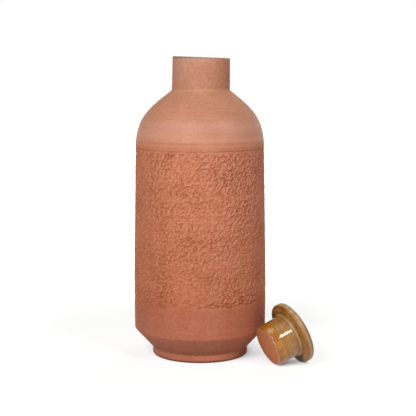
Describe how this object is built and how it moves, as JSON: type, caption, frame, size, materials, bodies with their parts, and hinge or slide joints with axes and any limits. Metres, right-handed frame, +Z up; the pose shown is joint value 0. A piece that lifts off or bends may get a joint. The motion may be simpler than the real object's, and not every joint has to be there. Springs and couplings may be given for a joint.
{
  "type": "clay water bottle",
  "caption": "Tall clay water bottle with a tooled band, a round shoulder and a straight neck; its glazed flanged stopper lies beside the foot.",
  "frame": {"origin": "centre of the bottle's flat foot, on the table", "axes": "+Z up along the bottle's axis, -Y towards the viewer of the picture, +X to the viewer's right"},
  "size_m": [0.1359, 0.1089, 0.2298],
  "materials": {
    "fired_clay": "unglazed, matt, tooled",
    "amber_glaze": "glossy"
  },
  "bodies": {
    "bottle": {"bottle": "fired_clay"},
    "stopper": {"stopper": "amber_glaze"}
  },
  "joints": [
    {"name": "stopper_lift", "type": "slide", "parent": "bottle", "child": "stopper", "axis": [0, 0, 1], "range_m": [0, 0.24]}
  ]
}
